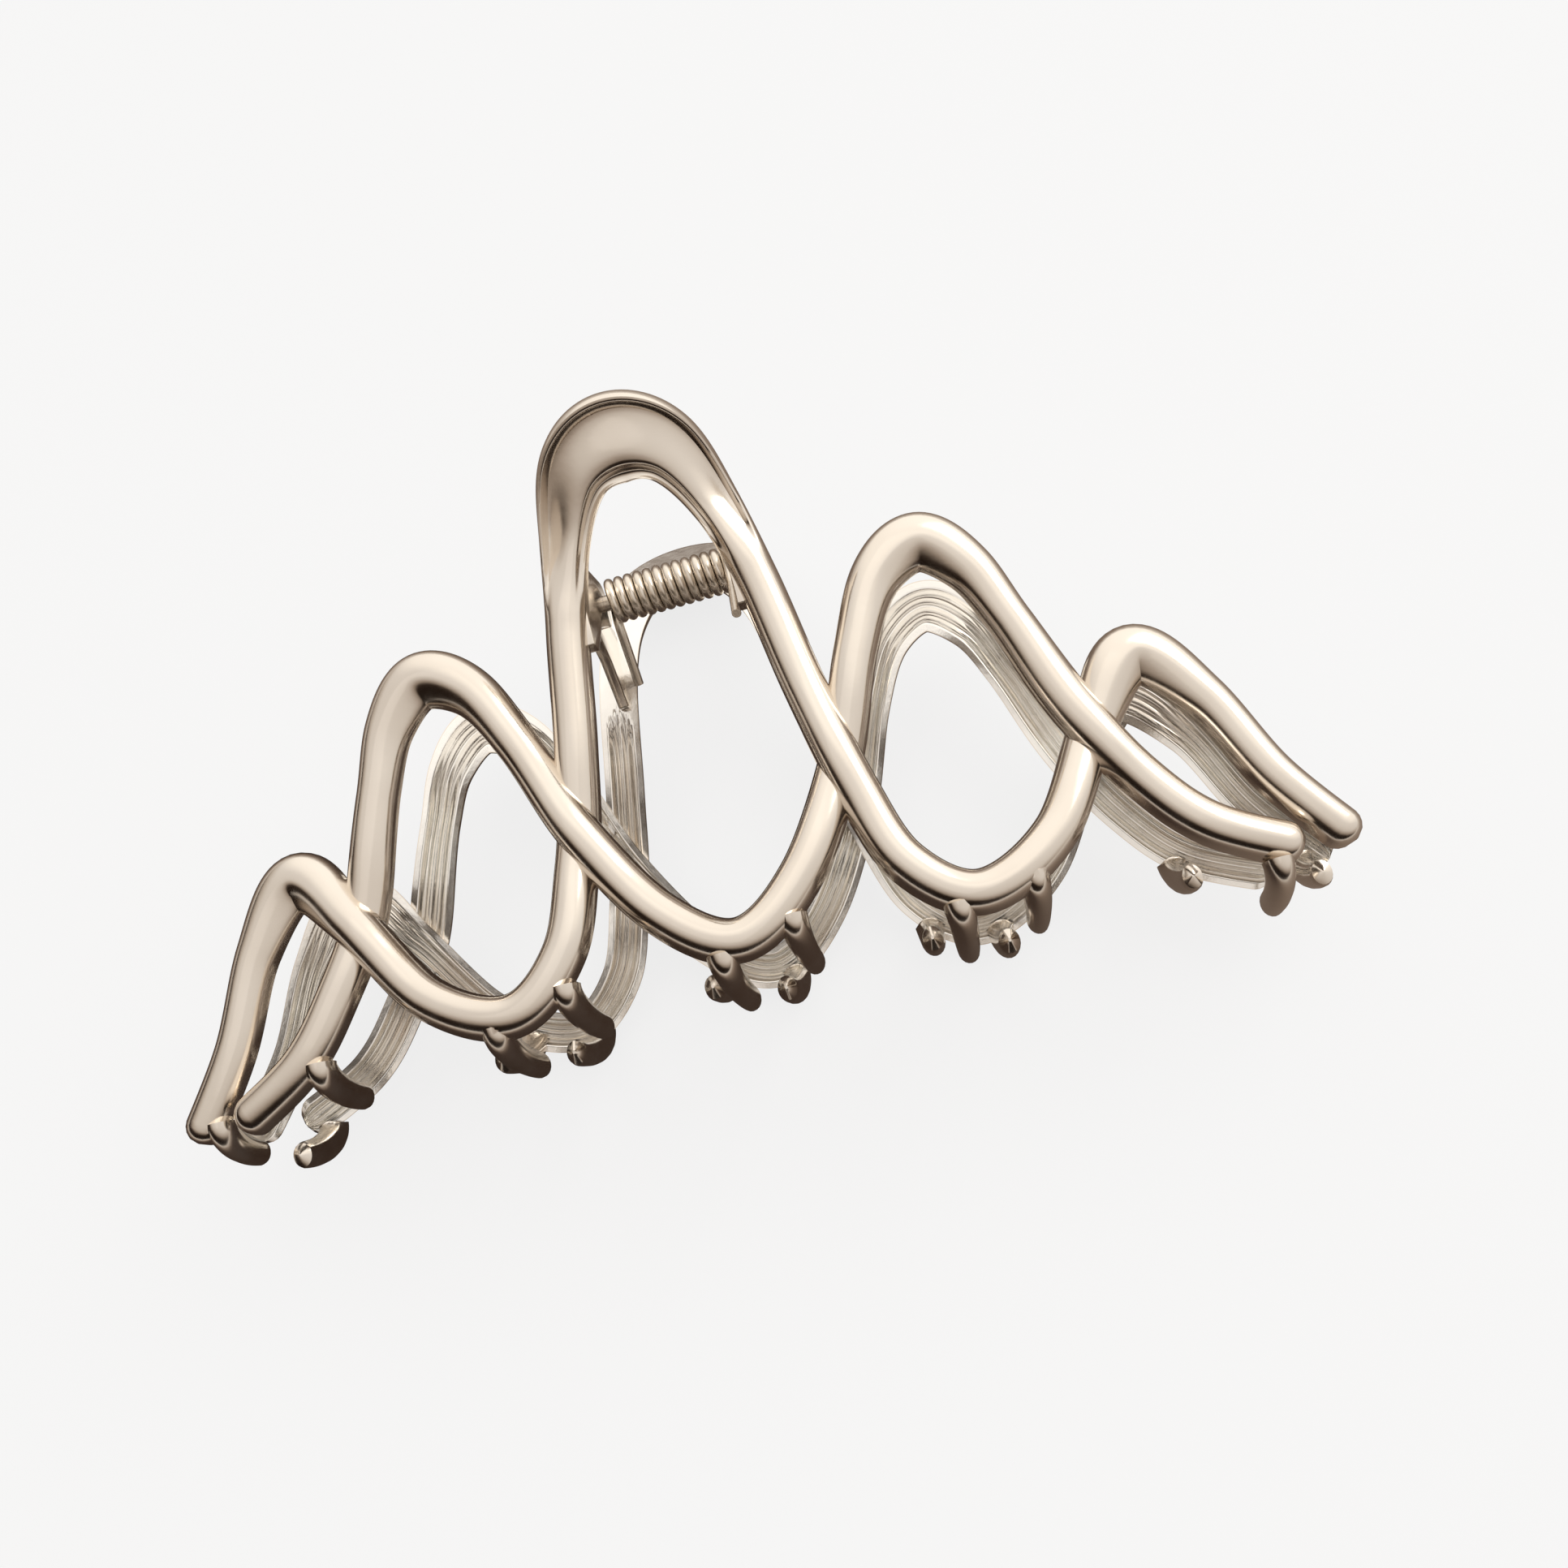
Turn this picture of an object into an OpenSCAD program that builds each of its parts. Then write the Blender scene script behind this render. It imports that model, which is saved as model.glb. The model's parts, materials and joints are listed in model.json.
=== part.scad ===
// Claw hair clip: two identical openwork cast jaws, turned half round from each other,
// on one riveted hinge pin with a torsion spring that holds their teeth closed.

/* [Clip] */
// Overall length of the clip, along its hinge pin
clip_length = 109; // [106:0.5:112]
// Angle that the closed clip leans at when it lies on its back, in degrees
lying_angle = 6.7; // [0:0.1:12]

/* [Jaw] */
// Width of a wire-like strand of the openwork
strand_w = 4.0; // [3.4:0.1:4.4]
// Thickness of a strand, from its open channel to its crest
strand_t = 2.5; // [2:0.1:3]
// Extra width of the strand at each rounded peak
peak_gain = 1.6; // [0:0.1:2]
// Extra width of the thumb handle at its tip
handle_gain = 4.4; // [3:0.1:4.8]
// Depth of the dished face of the thumb handle
handle_dish = 0.8; // [0:0.1:1]
// Height that one strand stands over the other where they cross
weave = 0.8; // [0.4:0.1:1]
// Depth of the hollow channel along the inner side of a strand
channel_depth = 1.1; // [0.4:0.1:1.3]

/* [Teeth] */
// Reach of a tooth past the middle plane of the closed clip
tooth_overlap = 1.5; // [0.5:0.1:2.5]
// Drop of a tooth below the strand that it grows from
tooth_drop = 2.8; // [2.5:0.1:3.5]
// Thickness of a tooth at its root
tooth_t = 2.8; // [2.2:0.1:3]

/* [Hinge] */
// Radius of the hinge pin
pin_r = 0.8; // [0.6:0.05:0.85]
// Radial clearance of the pin in the ears
pin_clearance = 0.05; // [0.02:0.01:0.1]
// Thickness of a hinge ear
ear_t = 1.1; // [0.9:0.1:1.1]
// Inner face of the upper jaw's ears, from the middle of the clip
ear_inner_x = 6.8; // [6.6:0.1:6.9]
// Radius of an ear round the pin
ear_r = 2.4; // [2:0.1:2.6]
// Diameter of the spring wire
wire_d = 0.95; // [0.8:0.05:0.95]
// Mean radius of the spring's coil
coil_r = 1.85; // [1.5:0.05:1.9]
// Number of turns in the spring
coil_turns = 12; // [8:1:12]

/* [Hidden] */

plate_color = "#d2c0ab";
wire_color = "#b9ad9c";

// Half of each strand's path, as [across, up] from the hinge pin. The other half mirrors it.
handle_strand = [
    [0, 8.0], [4.4, 6.4], [7.2, 1.5], [9.1, -5.8], [10.8, -16.8], [13, -27.5], [15.6, -35],
    [21.1, -39], [28.6, -35.4], [34.6, -26.8], [39.8, -21.2], [44.8, -26.6], [48.6, -35],
    [53.6, -42.2]];
shoulder_strand = [
    [0, -37.8], [6.4, -33.6], [12, -24.6], [16, -14.9], [19.5, -8.6], [24, -6.2],
    [27.8, -9.6], [30.2, -15.6], [33.6, -25.8], [37.4, -32.8], [41.8, -38], [48.8, -41.8]];
// Where the two strands cross on the right half, and the rounded peaks of the openwork.
inner_crossing = [12.4, -24];
outer_crossing = [34, -27];
peaks = [[24, -6.2], [39.8, -21.2]];
// Roots of one jaw's teeth, as [across, up]. Turned half round, they fall between each other.
tooth_roots = [
    [-51, -41], [-40, -38.4], [-22.6, -39.8], [-15.9, -37.8], [-1.8, -38.8],
    [4.8, -37], [18.8, -39.6], [25.6, -38.6], [46.2, -42.4]];

steps = 4;
crossing_reach = 5;
peak_reach = 6;
handle_tip = [0, 8.0];
handle_reach = 7;
handle_start = -4;
handle_rise = 8;
root_depth = 0.4;

// Depth of the jaw's middle surface in front of the hinge plane, at a height and a distance
// across: a gentle barrel that flares out into the handle and sweeps back at both ends.
waist_depth = 10.6;
waist_z = -14;
barrel_curve = 0.0034;
flare_z = -6;
flare_curve = 0.024;
half_length = 50;
end_sweep = 0.5;
function flare(z) = z > flare_z ? flare_curve * pow(z - flare_z, 2) : 0;
function barrel(z) = waist_depth + barrel_curve * pow(z - waist_z, 2) + flare(z);
function depth(x, z) = barrel(z) * (1 - end_sweep * pow(x / half_length, 2));

function bump(x, z, at, reach) = exp(-(pow(x - at[0], 2) + pow(z - at[1], 2)) / pow(reach, 2));
function both(half) = concat([for (i = [len(half) - 1:-1:1]) [-half[i][0], half[i][1]]], half);
function mixed(a, b, c, d, t) =
    0.5 * (2 * b + (c - a) * t + (2 * a - 5 * b + 4 * c - d) * t * t
        + (3 * b - a - 3 * c + d) * t * t * t);
function smooth(p) = concat(
    [for (i = [0:len(p) - 2], j = [0:steps - 1])
        mixed(p[max(i - 1, 0)], p[i], p[i + 1], p[min(i + 2, len(p) - 1)], j / steps)],
    [p[len(p) - 1]]);
function unit(v) = v / norm(v);

// Lift at a crossing: the strand that falls to the right lies over the other one.
function lift(x, z, side) = weave * side * sign(x)
    * (bump(abs(x), z, inner_crossing, crossing_reach)
        - bump(abs(x), z, outer_crossing, crossing_reach));
function on_jaw(p, side) = [p[0], -depth(p[0], p[1]) - lift(p[0], p[1], side), p[1]];
tiny = 0.1;
function outward(x, z) = -unit([
    (depth(x + tiny, z) - depth(x - tiny, z)) / (2 * tiny),
    1,
    (depth(x, z + tiny) - depth(x, z - tiny)) / (2 * tiny)]);

neck_x = 11;
function handle_part(x, z) =
    abs(x) < neck_x ? min(max((z - handle_start) / handle_rise, 0), 1) : 0;
function swell(x, z) = peak_gain * max([for (p = peaks) bump(abs(x), z, p, peak_reach)]);
function width(x, z) =
    strand_w + swell(x, z) + handle_gain * bump(x, z, handle_tip, handle_reach);

// Cross-section of a strand, as [across, outward]: a rounded crest over an open channel.
// On the handle the crest sinks into a dish and the channel closes.
crest_round = 0.7;
dish_round = 6;
inner_face = -strand_t / 3;
rim_part = 0.3;
function crest(a, h) =
    strand_t * pow(sin(a), crest_round) - h * handle_dish * pow(sin(a), dish_round);
function section(w, h) = concat(
    [for (a = [0:30:180]) [w / 2 * cos(a), crest(a, h) + inner_face]],
    [[-w * rim_part, inner_face], [0, channel_depth * (1 - h) + inner_face],
        [w * rim_part, inner_face]]);

// One solid through a list of rings of points, all with the same number of points.
module loft(rings) {
    n = len(rings[0]);
    last = len(rings) - 1;
    polyhedron(
        points = [for (r = rings) each r],
        faces = concat(
            [[for (k = [n - 1:-1:0]) k]],
            [for (i = [0:last - 1], k = [0:n - 1])
                [i * n + k, i * n + (k + 1) % n, (i + 1) * n + (k + 1) % n, (i + 1) * n + k]],
            [[for (k = [0:n - 1]) last * n + k]]));
}

end_size = 0.45;
function end_round(i, last) = i == 0 || i == last ? end_size : 1;

module strand(half, side) {
    flat = smooth(both(half));
    last = len(flat) - 1;
    loft([for (i = [0:last])
        let (
            x = flat[i][0],
            z = flat[i][1],
            along = unit(on_jaw(flat[min(i + 1, last)], side) - on_jaw(flat[max(i - 1, 0)], side)),
            across = unit(cross(along, outward(x, z))),
            out = cross(across, along),
            h = handle_part(x, z),
            w = width(x, z) * end_round(i, last))
        [for (s = section(w, h)) on_jaw(flat[i], side) + s[0] * across + s[1] * out]]);
}

// A claw-like tooth: it drops from the strand and curls in past the middle plane.
tooth_taper = 0.3;
tooth_oval = 1.25;
module tooth(root) {
    reach = depth(root[0], root[1]) - root_depth;
    arc = [for (a = [0:15:90]) a];
    loft([for (i = [0:len(arc) - 1])
        let (
            a = arc[i],
            centre = [root[0], tooth_overlap - (reach + tooth_overlap) * cos(a),
                root[1] - tooth_drop * sin(a)],
            along = unit([0, (reach + tooth_overlap) * sin(a), -tooth_drop * cos(a)]),
            out = cross([1, 0, 0], along),
            r = tooth_t / 2 * (1 - tooth_taper * a / 90))
        [for (k = [0:45:315]) centre + r * cos(k) * [1, 0, 0] + tooth_oval * r * sin(k) * out]]);
}

module openwork() {
    resize([clip_length, 0, 0]) {
        strand(handle_strand, 1);
        strand(shoulder_strand, -1);
        for (root = tooth_roots)
            tooth(root);
    }
}

// Flat hinge ear in the plane across the pin, from the pin's eye to the handle's neck.
module ear(x) {
    translate([x, 0, 0])
        rotate([90, 0, 90])
            linear_extrude(ear_t) {
                circle(r = ear_r, $fn = 48);
                polygon([[0, ear_r], [-11.3, 1.2], [-10.6, -8], [-9, -8], [0, -ear_r]]);
            }
}

// The upper jaw's ears sit between the lower jaw's on the pin.
ear_gap = 0.3;
ear_outer_x = ear_inner_x + ear_t + ear_gap;
bore_r = pin_r + pin_clearance;
drill_half = 20;

module jaw(ear_x) {
    difference() {
        union() {
            openwork();
            ear(-ear_x - ear_t);
            ear(ear_x);
        }
        translate([-drill_half, 0, 0])
            rotate([0, 90, 0])
                cylinder(r = bore_r, h = 2 * drill_half, $fn = 48);
    }
}

head_gap = 0.1;
pin_half = ear_outer_x + ear_t + head_gap;
head_r = 1.5;
head_t = 0.5;

module pin_outline() {
    square([pin_r, 2 * pin_half]);
    translate([0, -head_t])
        square([head_r, head_t]);
    translate([0, 2 * pin_half])
        square([head_r, head_t]);
}

// The spring's wire: a leg down the lower jaw, close turns, and a leg down the upper jaw.
turn_steps = 12;
coil_gap = 0.15;
coil_half = ear_inner_x - coil_gap - wire_d / 2;
leg_reach = 7;
leg_out = 4.2;
leg_bend = 1;
coil_end = 360 * coil_turns + 180;
function coil_point(a) =
    [coil_half * (2 * a / coil_end - 1), coil_r * cos(a), coil_r * sin(a)];
coil_path = concat(
    [[-coil_half, coil_r + leg_out, -leg_reach], [-coil_half, coil_r, -leg_bend]],
    [for (a = [0:360 / turn_steps:coil_end]) coil_point(a)],
    [[coil_half, -coil_r, -leg_bend], [coil_half, -coil_r - leg_out, -leg_reach]]);

// A little off the pin's axis, so that it is never in line with the wire.
off_axis = 0.001;
module wire(path, r) {
    last = len(path) - 1;
    loft([for (i = [0:last])
        let (
            along = unit(path[min(i + 1, last)] - path[max(i - 1, 0)]),
            side = unit(cross(along, [1, 0, off_axis])),
            up = cross(side, along))
        [for (k = [0:60:300]) path[i] + r * (cos(k) * side + sin(k) * up)]]);
}

// Height of the pin over the table, and its place along the table, with the clip on its back.
pin_height = 18.5;
pin_back = 16.2;

module lying() {
    translate([0, pin_back, pin_height])
        rotate([lying_angle - 90, 0, 0])
            children();
}

module lower_jaw() {
    color(plate_color)
        lying()
            rotate([0, 0, 180])
                jaw(ear_outer_x);
}

module upper_jaw() {
    color(plate_color)
        lying()
            jaw(ear_inner_x);
}

module hinge_pin() {
    color(wire_color)
        lying()
            translate([-pin_half, 0, 0])
                rotate([0, 90, 0])
                    rotate_extrude($fn = 48)
                        pin_outline();
}

module torsion_spring() {
    color(wire_color)
        lying()
            wire(coil_path, wire_d / 2);
}

lower_jaw();
upper_jaw();
hinge_pin();
torsion_spring();
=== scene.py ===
"""A claw hair clip, lying closed on its back: two openwork cast jaws, a pin and a spring."""
import json
import math
import bmesh
import bpy
import numpy as np
from mathutils import Matrix, Vector


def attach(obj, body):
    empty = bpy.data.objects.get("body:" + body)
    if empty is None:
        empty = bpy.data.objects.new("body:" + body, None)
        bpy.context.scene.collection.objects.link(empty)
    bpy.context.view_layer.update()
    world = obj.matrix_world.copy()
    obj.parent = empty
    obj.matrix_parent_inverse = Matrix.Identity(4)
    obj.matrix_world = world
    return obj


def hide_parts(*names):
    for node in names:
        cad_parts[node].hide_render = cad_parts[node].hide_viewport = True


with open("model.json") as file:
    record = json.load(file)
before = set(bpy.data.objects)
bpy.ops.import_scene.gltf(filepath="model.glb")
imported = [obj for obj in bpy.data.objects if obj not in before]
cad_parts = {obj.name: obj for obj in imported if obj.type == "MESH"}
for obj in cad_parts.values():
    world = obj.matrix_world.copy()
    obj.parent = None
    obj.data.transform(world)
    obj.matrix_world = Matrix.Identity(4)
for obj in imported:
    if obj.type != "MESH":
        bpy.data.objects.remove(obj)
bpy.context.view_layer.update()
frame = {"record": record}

MM = 0.001
HINGE = np.array(frame["record"]["behaviour"]["joints"][0]["pos_m"])
LYING_ANGLE = math.radians(6.7 - 90)

# The clip's own frame has the pin at its origin, X along the pin, Z up to the handles, and
# the jaw that is being made on the -Y side. All sizes in it are in millimetres.
CREST = 2.5                 # thickness of a strand
INNER = -CREST / 3          # its open inner side, from the jaw's middle surface
STRAND_W = 4.0
PEAK_GAIN = 1.6
HANDLE_GAIN = 4.4
WEAVE = 0.8                 # how far a strand steps over or under another
WEAVE_REACH = 5
HALF_LENGTH = 50.0
NOSE = 1.7                  # length of the rounded end of a strand
NECK_X = 11                 # a strand nearer to the middle than this runs up to the handle
PEAK_REACH = 6
HANDLE_REACH = 7

CREST_ROUND = 0.8
PEAK_SLOPE = 0.3
RIM_HEIGHT = 1.15           # the handle's raised outer rim, dished middle and inner lip
DISH_T = 0.3
DISH_RISE = 1.15
DISH_STEP = 0.85
LIP_HEIGHT = 0.25

CHANNEL_DEPTH = 1.25
CHANNEL_HALF = 0.68         # of a strand's half width
PEAK_CHANNEL = 0.6          # of the channel's depth, where it rounds a peak
MIDDLE_RIB = 0.85           # of the channel's depth
SIDE_RIB = 0.7

# Half of each strand's path, as (across, up); the other half mirrors it.
HANDLE_STRAND = [
    (0, 8.0), (4.4, 6.4), (7.2, 1.5), (9.1, -5.8), (10.8, -16.8), (13, -27.5), (15.6, -35),
    (21.1, -39), (28.6, -35.4), (34.6, -26.8), (39.8, -21.2), (44.8, -26.6), (48.6, -35),
    (53.6, -42.2)]
SHOULDER_STRAND = [
    (0, -37.8), (6.4, -33.6), (12, -24.6), (16, -14.9), (19.5, -8.6), (24, -6.2),
    (27.8, -9.6), (30.2, -15.6), (33.6, -25.8), (37.4, -32.8), (41.8, -38), (48.8, -41.8)]
INNER_CROSSING = (12.4, -24.0)
OUTER_CROSSING = (34.0, -27.0)
PEAKS = [(24.0, -6.2), (39.8, -21.2)]
HANDLE_TIP = (0.0, 8.0)
TOOTH_ROOTS = [
    (-51, -41), (-40, -38.4), (-22.6, -39.8), (-15.9, -37.8), (-1.8, -38.8),
    (4.8, -37), (18.8, -39.6), (25.6, -38.6), (46.2, -42.4)]
TOOTH_OVERLAP = 1.5
TOOTH_INSET = 0.4
TOOTH_DROP = 2.8
TOOTH_T = 2.8
TOOTH_TAPER = 0.3
TOOTH_OVAL = 1.25
TOOTH_TIP = 0.07            # the part of a tooth that is its rounded tip

EAR_T = 1.1
EAR_INNER_X = 6.8
EAR_OUTER_X = EAR_INNER_X + EAR_T + 0.3
EAR_R = 2.4
EAR_BEVEL = 0.14
PIN_R = 0.8
BORE_R = 0.85
DRILL_HALF = 20
PIN_HALF = EAR_OUTER_X + EAR_T + 0.1
HEAD_R = 1.5
HEAD_T = 0.5

WIRE_R = 0.475
COIL_R = 1.85
TURNS = 12.5
COIL_HALF = EAR_INNER_X - 0.15 - WIRE_R
LEG_REACH = 7.0
LEG_OUT = 4.2
SWING = 70 / 360            # turns of the coil that ride with the upper jaw
SWING_R = WIRE_R * 0.985    # a trace thinner, to end inside the coil's own wire
JOIN_TURN = 0.01

DRIFT_SCALE = 90
POLISH_SCALE = 420
GRAIN_DISTANCE = 0.00005

STEPS = 16
OUTER_POINTS = 40
INNER_POINTS = 46
PER_TURN = 40
# slot 1, the inner faces, takes the paler plating whose lightness is painted light
OUTSIDE_SLOT, CHANNEL_SLOT = 0, 1


# ---------------------------------------------------------------- shape of a jaw

def smoothstep(a, b, x):
    t = np.clip((x - a) / (b - a), 0, 1)
    return t * t * (3 - 2 * t)


def bump(x, z, at, reach):
    return np.exp(-((x - at[0]) ** 2 + (z - at[1]) ** 2) / reach ** 2)


def depth(x, z):
    """How far the jaw's middle surface stands in front of the hinge plane."""
    flare = np.where(z > -6, 0.024 * (z + 6) ** 2, 0)
    return (10.6 + 0.0034 * (z + 14) ** 2 + flare) * (1 - 0.5 * (x / HALF_LENGTH) ** 2)


def outward(x, z):
    step = 0.05
    dx = (depth(x + step, z) - depth(x - step, z)) / (2 * step)
    dz = (depth(x, z + step) - depth(x, z - step)) / (2 * step)
    n = -np.stack([dx, np.ones_like(dx), dz], axis=-1)
    return unit(n)


def unit(v):
    return v / np.linalg.norm(v, axis=-1, keepdims=True)


def smooth_path(half):
    """A Catmull-Rom curve through a half path and its mirror image."""
    p = np.array([(-x, z) for x, z in half[:0:-1]] + list(half), float)
    p = np.vstack([p[:1], p, p[-1:]])
    t = np.arange(STEPS)[:, None] / STEPS
    out = []
    for a, b, c, d in zip(p, p[1:], p[2:], p[3:]):
        out.append(0.5 * (2 * b + (c - a) * t + (2 * a - 5 * b + 4 * c - d) * t ** 2
                          + (3 * b - a - 3 * c + d) * t ** 3))
    return np.vstack(out + [p[-1:]])


def strand_path(half, side):
    """The strand's middle line: the one that falls to the right lies over the other."""
    flat = smooth_path(half)
    x, z = flat[:, 0], flat[:, 1]
    inner, outer = [bump(abs(x), z, at, WEAVE_REACH) for at in (INNER_CROSSING, OUTER_CROSSING)]
    crossing = inner - outer
    return np.stack([x, -depth(x, z) - WEAVE * side * np.sign(x) * crossing, z], axis=-1)


def arc_lengths(path):
    return np.concatenate([[0], np.cumsum(np.linalg.norm(np.diff(path, axis=0), axis=1))])


def end_rounding(path):
    """1 along a strand, falling off in a rounded nose at each end."""
    length = arc_lengths(path)
    from_end = np.minimum(length, length[-1] - length)
    return np.sqrt(np.clip(1 - (1 - np.clip(from_end / NOSE, 0, 1)) ** 2, 0.01, 1))


def crest_height(s, handle, peak):
    """Outer face at s, from -1 at the loop's outer edge to 1 at its opening."""
    edge = np.sqrt(np.clip(1 - s * s, 0, 1))
    plain = CREST * edge ** CREST_ROUND * (1 - PEAK_SLOPE * peak * smoothstep(0, 1, s))
    rim = RIM_HEIGHT * smoothstep(-0.62, -0.84, s)
    dish = DISH_T + DISH_RISE * smoothstep(-0.65, 0.4, s)
    step = -DISH_STEP * smoothstep(0.52, 0.74, s)
    lip = LIP_HEIGHT * np.exp(-((s - 0.92) / 0.05) ** 2)
    dished = (dish + rim + step + lip) * np.clip(edge / 0.4, 0, 1) ** 0.7
    return plain * (1 - handle) + dished * handle


def channel_height(s, strength):
    """Inner face: two smooth edges, and between them a channel with three ribs along it."""
    wall = CHANNEL_HALF * np.clip(2 * strength, 0.001, 1)
    inside = smoothstep(wall, wall - 0.2, abs(s))
    middle = MIDDLE_RIB * np.exp(-(s / 0.1) ** 2)
    sides = SIDE_RIB * np.exp(-((abs(s) - 0.33) / 0.07) ** 2)
    return CHANNEL_DEPTH * strength * inside * (1 - (middle + sides))


def strand_form(x, z):
    """Along a strand: how far it is handle and peak, its width, and its channel's strength."""
    neck = abs(x) < NECK_X
    handle = np.where(neck, smoothstep(-5, 3, z), 0)
    peak = np.maximum(*[bump(abs(x), z, at, PEAK_REACH) for at in PEAKS])
    width = STRAND_W + PEAK_GAIN * peak + HANDLE_GAIN * bump(x, z, HANDLE_TIP, HANDLE_REACH)
    near_peak = np.minimum(*[np.hypot(abs(x) - at[0], z - at[1]) for at in PEAKS])
    shallow = PEAK_CHANNEL + (1 - PEAK_CHANNEL) * smoothstep(3.5, 9, near_peak)
    channel = shallow * np.where(neck, smoothstep(-7, -13, z), 1)
    return handle, peak, width, channel


def strand_mesh(half, side):
    path = strand_path(half, side)
    x, z = path[:, 0], path[:, 2]
    along = unit(np.gradient(path, axis=0))
    across = unit(np.cross(along, outward(x, z)))
    out = np.cross(across, along)
    handle, peak, width, channel = strand_form(x, z)
    size = end_rounding(path)
    s_out = np.cos(np.linspace(0, math.pi, OUTER_POINTS))
    s_in = np.linspace(-1, 1, INNER_POINTS + 2)[1:-1]
    rings = []
    for i in range(len(path)):
        outer = crest_height(s_out, handle[i], peak[i])
        inner = channel_height(s_in, channel[i])
        s = np.concatenate([s_out, s_in]) * width[i] / 2 * size[i]
        n = (np.concatenate([outer, inner]) + INNER) * size[i]
        rings.append(path[i] + s[:, None] * across[i] + n[:, None] * out[i])
    return loft(rings, range(OUTER_POINTS, OUTER_POINTS + INNER_POINTS - 1))


def tooth_mesh(root):
    """A claw: it drops from the strand, curls in past the middle plane and ends rounded."""
    x, z = root
    reach = float(depth(x, z)) - TOOTH_INSET + TOOTH_OVERLAP
    turn = np.radians(np.linspace(0, 90, 26))
    rings = []
    for a in turn:
        centre = np.array([x, TOOTH_OVERLAP - reach * math.cos(a), z - TOOTH_DROP * math.sin(a)])
        along = unit(np.array([0, reach * math.sin(a), -TOOTH_DROP * math.cos(a)]))
        out = np.cross([1, 0, 0], along)
        t = a / turn[-1]
        into_tip = max(t - 1 + TOOTH_TIP, 0) / TOOTH_TIP
        tip = math.sqrt(max(1 - into_tip ** 2, 0.02))
        r = TOOTH_T / 2 * (1 - TOOTH_TAPER * t) * tip
        k = np.linspace(0, 2 * math.pi, 20, endpoint=False)[:, None]
        side = np.array([1, 0, 0])
        rings.append(centre + r * np.cos(k) * side + TOOTH_OVAL * r * np.sin(k) * out)
    return loft(rings)


# ---------------------------------------------------------------- mesh helpers

def loft(rings, channel_sides=()):
    """A closed tube through rings of points, as (points, faces, material index of each)."""
    n, last = len(rings[0]), len(rings) - 1
    faces, slots = [tuple(range(n - 1, -1, -1))], [OUTSIDE_SLOT]
    for i in range(last):
        for k in range(n):
            m = (k + 1) % n
            faces.append((i * n + k, i * n + m, (i + 1) * n + m, (i + 1) * n + k))
            slots.append(CHANNEL_SLOT if k in channel_sides else OUTSIDE_SLOT)
    faces.append(tuple(last * n + k for k in range(n)))
    slots.append(OUTSIDE_SLOT)
    return np.vstack(rings), faces, slots


def lying(points, turned=False):
    """From the clip's own frame in millimetres to the model's frame in metres."""
    p = np.array(points, float)
    if turned:
        p = p * [-1, -1, 1]
    c, s = math.cos(LYING_ANGLE), math.sin(LYING_ANGLE)
    y, z = p[:, 1] * c - p[:, 2] * s, p[:, 1] * s + p[:, 2] * c
    return np.stack([p[:, 0], y, z], axis=-1) * MM + HINGE


def make_object(name, shape, materials, turned=False):
    points, faces, slots = shape
    mesh = bpy.data.meshes.new(name)
    mesh.from_pydata(lying(points, turned).tolist(), [], faces)
    for m in materials:
        mesh.materials.append(m)
    mesh.polygons.foreach_set("material_index", slots)
    b = bmesh.new()
    b.from_mesh(mesh)
    bmesh.ops.recalc_face_normals(b, faces=b.faces)
    b.to_mesh(mesh)
    b.free()
    ob = bpy.data.objects.new(name, mesh)
    bpy.context.scene.collection.objects.link(ob)
    return ob


def apply_modifiers(ob):
    bpy.context.view_layer.update()
    seen = ob.evaluated_get(bpy.context.evaluated_depsgraph_get())
    done = bpy.data.meshes.new_from_object(seen)
    ob.modifiers.clear()
    ob.data = done


def combine(base, tools, operation="UNION"):
    """Joins or cuts base with each tool, applies the result and removes the tools."""
    for tool in tools:
        mod = base.modifiers.new("join", "BOOLEAN")
        mod.operation = operation
        mod.solver = "MANIFOLD"
        mod.object = tool
    apply_modifiers(base)
    for tool in tools:
        bpy.data.objects.remove(tool)


def shade(ob, angle=38):
    ob.data.polygons.foreach_set("use_smooth", [True] * len(ob.data.polygons))
    ob.data.set_sharp_from_angle(angle=math.radians(angle))


def bevel(ob, size, segments=3):
    mod = ob.modifiers.new("edges", "BEVEL")
    mod.width = size * MM
    mod.segments = segments
    mod.limit_method = "ANGLE"
    mod.angle_limit = math.radians(40)
    apply_modifiers(ob)


# ---------------------------------------------------------------- ears, pin and spring

def ear_outline():
    """Outline of an ear as (y, z): the eye round the pin, widening to the handle's neck."""
    eye = [(EAR_R * math.cos(a), EAR_R * math.sin(a))
           for a in np.radians(np.linspace(-90, 90, 25))]
    return eye + [(-11.2, 1.2), (-10.6, -7.8), (-9.0, -8.0), (-4.6, -4.2)]


def ear_mesh(x):
    outline = ear_outline()
    rings = [[(x, y, z) for y, z in outline], [(x + EAR_T, y, z) for y, z in outline]]
    return loft([np.array(r) for r in rings])


def turned_mesh(profile, sides=48):
    """A solid of revolution about the pin's axis, from (x, radius) points."""
    k = np.linspace(0, 2 * math.pi, sides, endpoint=False)
    return loft([np.stack([np.full(sides, x), r * np.cos(k), r * np.sin(k)], axis=-1)
                 for x, r in profile])


def pin_profile():
    """The pin with a low domed rivet head at each end."""
    dome = [(PIN_HALF + HEAD_T * math.sin(a), max(HEAD_R * math.cos(a), 0.05))
            for a in np.radians(np.linspace(0, 88, 9))]
    right = [(PIN_HALF, PIN_R)] + dome
    return [(-x, r) for x, r in right[::-1]] + right


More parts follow.
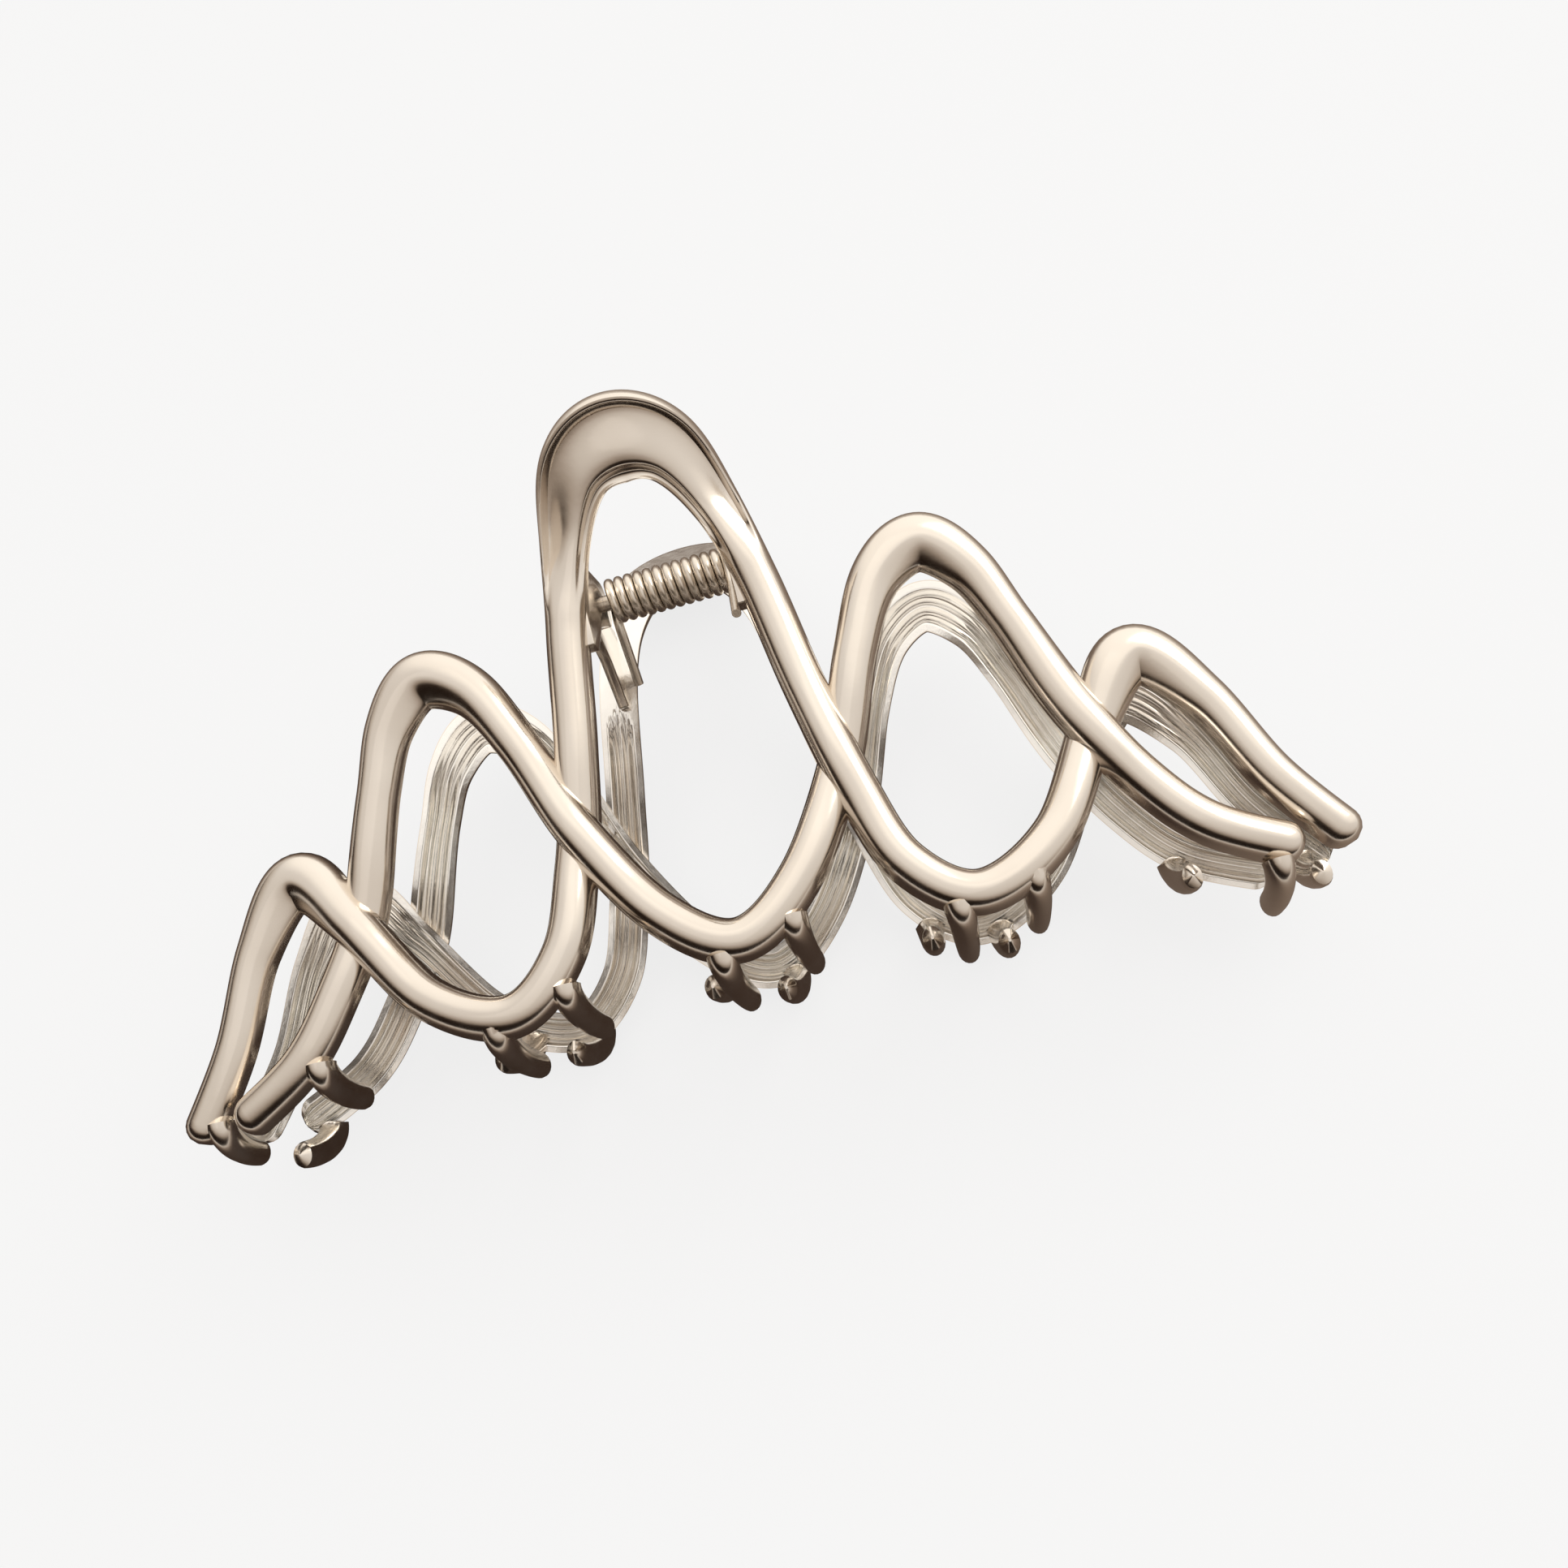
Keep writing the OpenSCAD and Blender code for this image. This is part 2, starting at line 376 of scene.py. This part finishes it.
def wire_mesh(path, radius=WIRE_R, sides=14):
    path = np.array(path, float)
    along = unit(np.gradient(path, axis=0))
    side = unit(np.cross(along, [1.0, 0.001, 0.0]))
    up = np.cross(side, along)
    k = np.linspace(0, 2 * math.pi, sides, endpoint=False)[:, None]
    return loft([c + radius * (np.cos(k) * s + np.sin(k) * u)
                 for c, s, u in zip(path, side, up)])


def coil_point(turn):
    a = 2 * math.pi * turn
    return (COIL_HALF * (2 * turn / TURNS - 1), COIL_R * math.cos(a), COIL_R * math.sin(a))


def leg_points(sign):
    """A spring leg, from the coil's end down the inside of its jaw, with a softened bend."""
    x, y = sign * COIL_HALF, -sign * COIL_R
    ends = [(x, y, -0.4), (x, y, -1.2), (x, y - sign * 0.35, -2.1)]
    tip = np.array([x, y - sign * LEG_OUT, -LEG_REACH])
    start = np.array(ends[-1])
    return ends + [tuple(start + (tip - start) * t) for t in np.linspace(0.15, 1, 7)]


# ---------------------------------------------------------------- materials

def node_material(name):
    mat = bpy.data.materials.new(name)
    mat.use_nodes = True
    return mat, mat.node_tree.nodes, mat.node_tree.links


def noise(nodes, links, coords, scale, detail=4.0, stretch=(1, 1, 1)):
    mapping = nodes.new("ShaderNodeMapping")
    mapping.inputs["Scale"].default_value = stretch
    links.new(coords.outputs["Object"], mapping.inputs["Vector"])
    tex = nodes.new("ShaderNodeTexNoise")
    tex.inputs["Scale"].default_value = scale
    tex.inputs["Detail"].default_value = detail
    links.new(mapping.outputs["Vector"], tex.inputs["Vector"])
    return tex.outputs["Fac"]


def ramp(nodes, links, source, stops):
    node = nodes.new("ShaderNodeValToRGB")
    node.color_ramp.elements[0].position = stops[0][0]
    node.color_ramp.elements[0].color = (*stops[0][1], 1)
    node.color_ramp.elements[1].position = stops[-1][0]
    node.color_ramp.elements[1].color = (*stops[-1][1], 1)
    for place, color in stops[1:-1]:
        node.color_ramp.elements.new(place).color = (*color, 1)
    links.new(source, node.inputs["Fac"])
    return node.outputs["Color"]


def metal(name, light, dark, rough, bump_scale, bump_strength, stretch=(1, 1, 1)):
    """Plated metal: slow colour drift, uneven polish, and a fine cast or drawn surface."""
    mat, nodes, links = node_material(name)
    shader = nodes["Principled BSDF"]
    shader.inputs["Metallic"].default_value = 1.0
    coords = nodes.new("ShaderNodeTexCoord")
    drift = noise(nodes, links, coords, DRIFT_SCALE, 3)
    tint = ramp(nodes, links, drift, [(0.35, dark), (0.65, light)])
    links.new(tint, shader.inputs["Base Color"])
    polish = noise(nodes, links, coords, POLISH_SCALE, 5, stretch)
    low, high = rough
    grey = [(0.3, (low,) * 3), (0.7, (high,) * 3)]
    links.new(ramp(nodes, links, polish, grey), shader.inputs["Roughness"])
    grain = noise(nodes, links, coords, bump_scale, 6, stretch)
    bump_node = nodes.new("ShaderNodeBump")
    bump_node.inputs["Strength"].default_value = bump_strength
    bump_node.inputs["Distance"].default_value = GRAIN_DISTANCE
    links.new(grain, bump_node.inputs["Height"])
    links.new(bump_node.outputs["Normal"], shader.inputs["Normal"])
    return mat


PLATING = metal("champagne_plating", (0.83, 0.765, 0.685), (0.79, 0.72, 0.64),
                (0.14, 0.2), 1500, 0.1)
# The jaws' inner faces get a paler, near-white copy of the plating. Its paleness is painted light,
# standing in for the brightness the lower jaw's upturned inner faces catch. Its finer grain and
# rougher polish are the surface's own.
CHANNEL_PAINTED_LIGHT = metal("channel_plating_painted_light", (0.97, 0.95, 0.91), (0.87, 0.83, 0.78),
                (0.14, 0.24), 1800, 0.22)
PIN_STEEL = metal("pin_steel", (0.72, 0.65, 0.57), (0.6, 0.53, 0.45),
                  (0.2, 0.34), 2200, 0.4)
WIRE = metal("spring_wire", (0.86, 0.79, 0.70), (0.72, 0.65, 0.56),
             (0.18, 0.3), 2600, 0.5, (1, 0.2, 0.2))


# ---------------------------------------------------------------- the pieces

def jaw(name, ear_x, turned):
    skins = [PLATING, CHANNEL_PAINTED_LIGHT]
    base = make_object(name, strand_mesh(HANDLE_STRAND, 1), skins, turned)
    parts = [make_object("shoulder", strand_mesh(SHOULDER_STRAND, -1), skins, turned)]
    for root in TOOTH_ROOTS:
        parts.append(make_object("tooth", tooth_mesh(root), skins, turned))
    for x in (-ear_x - EAR_T, ear_x):
        ear = make_object("ear", ear_mesh(x), skins, turned)
        bevel(ear, EAR_BEVEL)
        parts.append(ear)
    combine(base, parts)
    drill = make_object("drill", turned_mesh([(-DRILL_HALF, BORE_R), (DRILL_HALF, BORE_R)]), skins)
    combine(base, [drill], "DIFFERENCE")
    shade(base)
    return base


def finish_piece(ob, body, slot, *replaced):
    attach(ob, body)
    if replaced:
        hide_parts(*replaced)


def spring_coil():
    """The coil and its lower leg, up to where the wire starts to swing with the upper jaw."""
    turns = np.linspace(0, TURNS - SWING, int((TURNS - SWING) * PER_TURN) + 1)
    wire = wire_mesh(leg_points(-1)[::-1] + [coil_point(t) for t in turns])
    return make_object("spring_coil", wire, [WIRE])


def spring_upper_leg():
    """The last part of the coil, which swings back over it as the clip opens, and its leg."""
    turns = np.linspace(TURNS - SWING - JOIN_TURN, TURNS, PER_TURN // 4 + 1)
    wire = wire_mesh([coil_point(t) for t in turns] + leg_points(1), SWING_R)
    return make_object("spring_upper_leg", wire, [WIRE])


lower = jaw("lower_casting", EAR_OUTER_X, True)
finish_piece(lower, "lower", "plated_casting", "lower_jaw")
upper = jaw("upper_casting", EAR_INNER_X, False)
finish_piece(upper, "upper", "plated_casting", "upper_jaw")

pin = make_object("rivet_pin", turned_mesh(pin_profile()), [PIN_STEEL])
shade(pin, 50)
finish_piece(pin, "lower", "pin_steel", "hinge_pin")

coil = spring_coil()
shade(coil, 60)
finish_piece(coil, "lower", "spring_wire", "torsion_spring")

leg = spring_upper_leg()
shade(leg, 60)
finish_piece(leg, "upper", "spring_wire")


# ---------------------------------------------------------------- floor, light and camera

FLOOR_HALF = 3.0
FLOOR_GLOW = 0.79
DARK_PATCH = (-0.035, -0.03, 0)
MIRRORED_FLOOR = [          # colour by distance from the dark patch, in metres
    (0.0, (0.03, 0.017, 0.011)), (0.05, (0.05, 0.031, 0.022)),
    (0.10, (0.25, 0.19, 0.15)), (0.25, (0.66, 0.6, 0.54))]

BRIGHT_SIDE = (0.42, 0.80, 0.42)
ROOM_ACROSS = [             # colour from the dark side to the bright side
    (0.0, (0.20, 0.16, 0.13)), (0.3, (0.52, 0.46, 0.41)), (0.5, (0.72, 0.67, 0.62)),
    (0.72, (0.84, 0.80, 0.76)), (0.84, (1.15, 1.1, 1.03)), (1.0, (1.3, 1.25, 1.18))]
ROOM_TOP = (0.36, 0.42, 0.83)
ROOM_HEIGHT = [             # what is left of that colour, from low down to high up
    (0.41, (0.03, 0.018, 0.012)), (0.47, (0.06, 0.038, 0.027)),
    (0.55, (0.66, 0.61, 0.56)), (0.67, (1, 1, 1))]
BACKDROP = (0.915, 0.915, 0.915, 1)

LENS = 34.84
CAMERA_AT = (15.9, -140.3, -57.3)
CAMERA_AHEAD = (-0.0676, 0.9686, 0.2392)
CAMERA_UP = (0.2626, -0.214, 0.9409)


def floor_material():
    """Pale to the eye. Mirrored in the metal it is dark brown close by and beige far off."""
    mat, nodes, links = node_material("pale_floor")
    shader = nodes["Principled BSDF"]
    shader.inputs["Base Color"].default_value = (0.15, 0.153, 0.157, 1)
    shader.inputs["Roughness"].default_value = 0.9
    shader.inputs["Specular IOR Level"].default_value = 0.0
    shader.inputs["Emission Color"].default_value = (1, 1, 1, 1)
    shader.inputs["Emission Strength"].default_value = FLOOR_GLOW
    coords = nodes.new("ShaderNodeTexCoord")
    away = nodes.new("ShaderNodeVectorMath")
    away.operation = "DISTANCE"
    away.inputs[1].default_value = DARK_PATCH
    links.new(coords.outputs["Object"], away.inputs[0])
    mirrored = nodes.new("ShaderNodeEmission")
    links.new(ramp(nodes, links, away.outputs["Value"], MIRRORED_FLOOR), mirrored.inputs["Color"])
    path = nodes.new("ShaderNodeLightPath")
    either = nodes.new("ShaderNodeMixShader")
    links.new(path.outputs["Is Glossy Ray"], either.inputs["Fac"])
    links.new(shader.outputs["BSDF"], either.inputs[1])
    links.new(mirrored.outputs["Emission"], either.inputs[2])
    links.new(either.outputs["Shader"], nodes["Material Output"].inputs["Surface"])
    return mat


def floor():
    h = FLOOR_HALF
    mesh = bpy.data.meshes.new("floor")
    mesh.from_pydata([(-h, -h, 0), (h, -h, 0), (h, h, 0), (-h, h, 0)], [], [(0, 1, 2, 3)])
    mesh.materials.append(floor_material())
    ob = bpy.data.objects.new("floor", mesh)
    bpy.context.scene.collection.objects.link(ob)


def softbox(name, place, aim, size, power, color):
    light = bpy.data.lights.new(name, "AREA")
    light.shape = "RECTANGLE"
    light.size, light.size_y = size
    light.energy = power
    light.color = color
    ob = bpy.data.objects.new(name, light)
    ob.location = place
    ob.rotation_mode = "QUATERNION"
    ob.rotation_quaternion = (Vector(aim) - Vector(place)).to_track_quat("-Z", "Y")
    bpy.context.scene.collection.objects.link(ob)


def toward(nodes, links, coords, direction):
    """0 to 1: how far a view into the room points along a direction."""
    dot = nodes.new("ShaderNodeVectorMath")
    dot.operation = "DOT_PRODUCT"
    dot.inputs[1].default_value = Vector(direction).normalized()
    links.new(coords.outputs["Generated"], dot.inputs[0])
    spread = nodes.new("ShaderNodeMapRange")
    spread.inputs["From Min"].default_value = -1
    links.new(dot.outputs["Value"], spread.inputs["Value"])
    return spread.outputs["Result"]


def surroundings():
    """A plain room in the metal: one bright side, dark low down. The eye sees a pale one."""
    world = bpy.data.worlds.new("room")
    bpy.context.scene.world = world
    world.use_nodes = True
    nodes, links = world.node_tree.nodes, world.node_tree.links
    coords = nodes.new("ShaderNodeTexCoord")
    across = ramp(nodes, links, toward(nodes, links, coords, BRIGHT_SIDE), ROOM_ACROSS)
    height = ramp(nodes, links, toward(nodes, links, coords, ROOM_TOP), ROOM_HEIGHT)
    mixed = nodes.new("ShaderNodeMixRGB")
    mixed.blend_type = "MULTIPLY"
    mixed.inputs["Fac"].default_value = 1
    links.new(across, mixed.inputs["Color1"])
    links.new(height, mixed.inputs["Color2"])
    seen = nodes.new("ShaderNodeMixRGB")
    seen.inputs["Color2"].default_value = BACKDROP
    path = nodes.new("ShaderNodeLightPath")
    links.new(path.outputs["Is Camera Ray"], seen.inputs["Fac"])
    links.new(mixed.outputs["Color"], seen.inputs["Color1"])
    links.new(seen.outputs["Color"], nodes["Background"].inputs["Color"])


def lying_direction(v):
    p = lying([(0, 0, 0), v])
    return Vector(p[1] - p[0]).normalized()


def camera():
    """Looks down at the clip from the teeth's side, a little from its right, rolled left."""
    data = bpy.data.cameras.new("camera")
    data.sensor_width = 36
    data.lens = LENS
    data.clip_start, data.clip_end = 0.005, 20
    ob = bpy.data.objects.new("camera", data)
    bpy.context.scene.collection.objects.link(ob)
    place = Vector(lying([CAMERA_AT])[0])
    ahead = lying_direction(CAMERA_AHEAD)
    up = lying_direction(CAMERA_UP)
    right = ahead.cross(up).normalized()
    up = right.cross(ahead).normalized()
    turn = Matrix((right, up, -ahead)).transposed().to_4x4()
    ob.matrix_world = Matrix.Translation(place) @ turn
    bpy.context.scene.camera = ob


floor()
surroundings()
softbox("key", (0.45, 0.30, 0.40), (0, 0, 0.02), (0.35, 0.35), 0.9, (1.0, 0.97, 0.92))
softbox("overhead", (-0.05, 0.05, 0.75), (0, 0, 0), (0.7, 0.7), 0.15, (1.0, 0.99, 0.97))
camera()
bpy.context.scene.view_settings.view_transform = "Standard"
